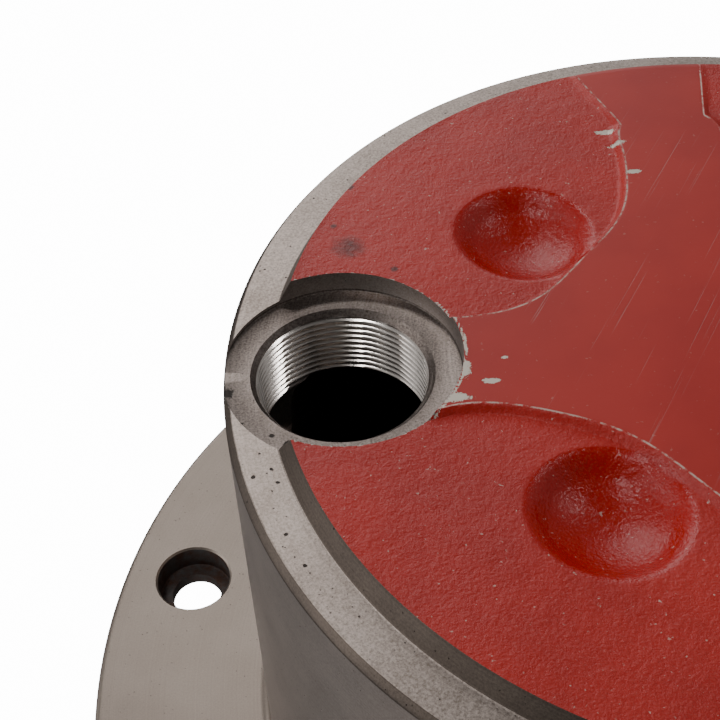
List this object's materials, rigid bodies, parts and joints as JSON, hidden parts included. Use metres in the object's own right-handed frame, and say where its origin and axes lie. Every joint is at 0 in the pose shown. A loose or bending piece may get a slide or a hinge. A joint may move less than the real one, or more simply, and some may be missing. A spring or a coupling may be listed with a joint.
{
  "type": "power lathe chuck",
  "caption": "Air-operated power chuck with stepped jaws: hollow flanged housing with a closed rear face, threaded air port, piston and wedge that draw the jaws inwards.",
  "frame": {"origin": "centre of the plane in which the jaw tips lie, on the chuck axis", "axes": "+Z along the chuck axis towards the closed rear face; -X through the threaded air port; jaws on X and Y"},
  "size_m": [0.3, 0.3, 0.2548],
  "materials": {
    "painted_housing": "red paint on the as-cast rear face; hub, ring and flange machined bare",
    "turned_iron": "turned grey cast iron",
    "hardened_steel": "ground and hardened",
    "bright_steel": "turned bright",
    "black_screws": "black oxide with a little oil",
    "bronze": "turned bearing bronze",
    "seal_rubber": "matt nitrile",
    "wear_tape": "filled PTFE"
  },
  "bodies": {
    "housing": {"rear_housing": "painted_housing", "side_port_washer": "bronze", "side_port_plug": "bright_steel", "cylinder_cover": "turned_iron", "rod_bushing": "bronze", "rod_seal": "seal_rubber", "cover_o_ring": "seal_rubber", "cylinder_cover_screw_1": "black_screws", "cylinder_cover_screw_2": "black_screws", "cylinder_cover_screw_3": "black_screws", "cylinder_cover_screw_4": "black_screws", "chuck_body": "turned_iron", "body_screw_1": "black_screws", "body_screw_2": "black_screws", "body_screw_3": "black_screws", "body_screw_4": "black_screws", "body_screw_5": "black_screws", "body_screw_6": "black_screws", "body_screw_7": "black_screws", "body_screw_8": "black_screws", "front_cover": "bright_steel", "front_cover_screw_1": "black_screws", "front_cover_screw_2": "black_screws", "front_cover_screw_3": "black_screws", "front_cover_screw_4": "black_screws"},
    "piston_group": {"piston": "turned_iron", "piston_seal": "seal_rubber", "piston_wear_ring": "wear_tape", "piston_rod": "bright_steel", "rod_nut": "bright_steel", "wedge_nut": "bright_steel", "wedge_sleeve": "hardened_steel"},
    "jaw_1": {"master_jaw_1": "hardened_steel", "top_jaw_1": "hardened_steel", "tee_nut_1": "hardened_steel", "jaw_screw_1a": "black_screws", "jaw_screw_1b": "black_screws"},
    "jaw_2": {"master_jaw_2": "hardened_steel", "top_jaw_2": "hardened_steel", "tee_nut_2": "hardened_steel", "jaw_screw_2a": "black_screws", "jaw_screw_2b": "black_screws"},
    "jaw_3": {"master_jaw_3": "hardened_steel", "top_jaw_3": "hardened_steel", "tee_nut_3": "hardened_steel", "jaw_screw_3a": "black_screws", "jaw_screw_3b": "black_screws"},
    "jaw_4": {"master_jaw_4": "hardened_steel", "top_jaw_4": "hardened_steel", "tee_nut_4": "hardened_steel", "jaw_screw_4a": "black_screws", "jaw_screw_4b": "black_screws"}
  },
  "joints": [
    {"name": "piston_slide", "type": "slide", "parent": "housing", "child": "piston_group", "axis": [0, 0, 1], "range_m": [0, 0.02]},
    {"name": "jaw_slide_1", "type": "slide", "parent": "housing", "child": "jaw_1", "axis": [-1, 0, 0], "range_m": [0, 0.0072]},
    {"name": "jaw_slide_2", "type": "slide", "parent": "housing", "child": "jaw_2", "axis": [0, -1, 0], "range_m": [0, 0.0072]},
    {"name": "jaw_slide_3", "type": "slide", "parent": "housing", "child": "jaw_3", "axis": [1, 0, 0], "range_m": [0, 0.0072]},
    {"name": "jaw_slide_4", "type": "slide", "parent": "housing", "child": "jaw_4", "axis": [0, 1, 0], "range_m": [0, 0.0072]}
  ],
  "couplings": [
    {"joint": "jaw_slide_1", "follows": "piston_slide", "ratio": 0.36},
    {"joint": "jaw_slide_2", "follows": "piston_slide", "ratio": 0.36},
    {"joint": "jaw_slide_3", "follows": "piston_slide", "ratio": 0.36},
    {"joint": "jaw_slide_4", "follows": "piston_slide", "ratio": 0.36}
  ]
}
